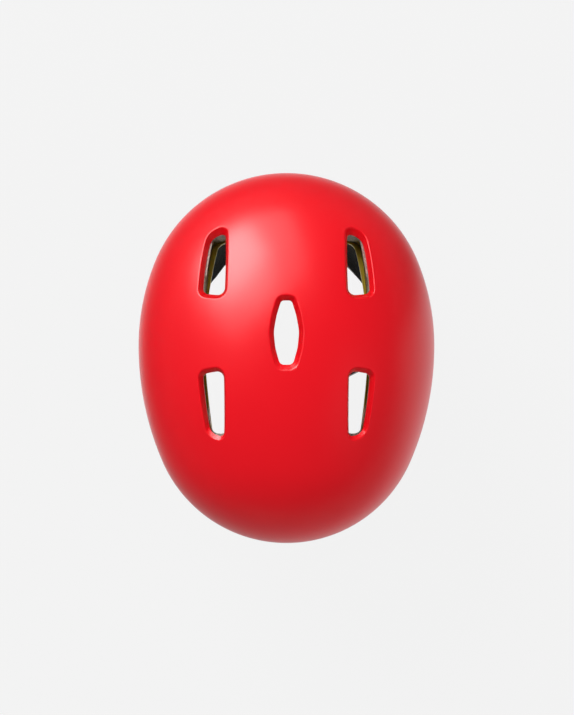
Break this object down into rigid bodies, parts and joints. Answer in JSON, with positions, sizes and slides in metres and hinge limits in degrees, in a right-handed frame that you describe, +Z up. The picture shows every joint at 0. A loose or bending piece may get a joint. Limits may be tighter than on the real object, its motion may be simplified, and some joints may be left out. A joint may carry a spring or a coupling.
{
  "type": "sport helmet",
  "caption": "Open-face hard-shell sport helmet with vents, foam and slip liner, comfort pads, dial fit system and buckled chin strap.",
  "frame": {"origin": "on the front-to-back axis that the shell, foam and slip liner are turned around, at the shell's widest place: the middle of the head cavity", "axes": "+Z up towards the crown, -Y forward to the brow, +X to the wearer's left"},
  "size_m": [0.22, 0.275, 0.2953],
  "materials": {
    "shell": "smooth satin, evenly coloured through",
    "trim": "matte moulded edge",
    "foam": "dark grey expanded bead foam, fine bead pattern",
    "anchor": "fine moulded grain",
    "webbing": "tight flat weave",
    "buckle": "satin moulded",
    "band": "flexible, satin",
    "liner": "thin yellow sheet, smooth",
    "elastomer": "soft, slightly glossy",
    "hook": "hook tape",
    "pad": "brushed knit over foam, welded edge",
    "housing": "fine moulded grain",
    "cap": "smooth",
    "pinion": "natural white engineering plastic",
    "steel": "plain bright steel"
  },
  "bodies": {
    "helmet": {"outer_shell": "shell", "edge_trim": "trim", "foam_liner": "foam", "strap_anchor_front_left": "anchor", "strap_anchor_front_right": "anchor", "strap_anchor_rear_left": "anchor", "strap_anchor_rear_right": "anchor", "front_strap_left": "webbing", "front_strap_right": "webbing", "rear_strap_left": "webbing", "rear_strap_right": "webbing", "strap_divider_left": "buckle", "strap_divider_right": "buckle", "chin_strap_left": "webbing", "chin_strap_right": "webbing", "strap_tail": "webbing", "strap_keeper": "buckle", "buckle_socket": "buckle", "temple_anchor_left": "anchor", "temple_anchor_right": "anchor", "cradle_anchor": "anchor", "fit_arm_left": "band", "fit_arm_right": "band", "cradle_hanger": "band", "slip_pins": "elastomer"},
    "slip": {"slip_liner": "liner", "hook_dots": "hook", "brow_pad": "pad", "crown_pad": "pad", "side_pad_left": "pad", "side_pad_right": "pad", "rear_pad_left": "pad", "rear_pad_right": "pad"},
    "cradle": {"dial_housing": "housing", "housing_cover": "housing", "cradle_pad": "pad", "click_spring": "steel"},
    "dial": {"dial_knob": "housing", "pinion": "pinion", "dial_screw": "steel", "dial_cap": "cap"},
    "left_band": {"fit_rack_left": "band"},
    "right_band": {"fit_rack_right": "band"},
    "plug": {"buckle_plug": "buckle"},
    "outer_prong": {"plug_prong_outer": "buckle"},
    "inner_prong": {"plug_prong_inner": "buckle"}
  },
  "joints": [
    {"name": "slip_roll", "type": "hinge", "parent": "helmet", "child": "slip", "pos_m": [0, 0, 0], "axis": [0, 1, 0], "range_deg": [-5, 5], "stiffness_Nm_per_rad": 6},
    {"name": "cradle_slide", "type": "slide", "parent": "helmet", "child": "cradle", "axis": [0, -1, 0], "range_m": [0, 0.00499], "deforming": ["cradle_hanger"]},
    {"name": "dial_turn", "type": "hinge", "parent": "cradle", "child": "dial", "pos_m": [0, 0.0654, -0.078], "axis": [0, -1, 0], "range_deg": [0, 143]},
    {"name": "left_band_slide", "type": "slide", "parent": "helmet", "child": "left_band", "axis": [-0.9231, -0.3846, 0], "range_m": [0, 0.0132], "deforming": ["fit_arm_left"]},
    {"name": "right_band_slide", "type": "slide", "parent": "helmet", "child": "right_band", "axis": [0.9231, -0.3846, 0], "range_m": [0, 0.0132], "deforming": ["fit_arm_right"]},
    {"name": "buckle_release", "type": "slide", "parent": "helmet", "child": "plug", "axis": [-0.6155, -0.3248, -0.7181], "range_m": [0, 0.034], "deforming": ["chin_strap_right", "strap_tail", "plug_prong_outer", "plug_prong_inner"]},
    {"name": "outer_prong_squeeze", "type": "hinge", "parent": "plug", "child": "outer_prong", "pos_m": [0.03654, -0.00935, -0.15904], "axis": [0.7593, 0, -0.6508], "range_deg": [0, 5], "stiffness_Nm_per_rad": 0.3},
    {"name": "inner_prong_squeeze", "type": "hinge", "parent": "plug", "child": "inner_prong", "pos_m": [0.03933, -0.02183, -0.15578], "axis": [-0.7593, 0, 0.6508], "range_deg": [0, 5], "stiffness_Nm_per_rad": 0.3}
  ],
  "couplings": [
    {"joint": "dial_turn", "follows": "cradle_slide", "rad_per_m": 500},
    {"joint": "left_band_slide", "follows": "cradle_slide", "ratio": 2.6},
    {"joint": "right_band_slide", "follows": "cradle_slide", "ratio": 2.6}
  ]
}
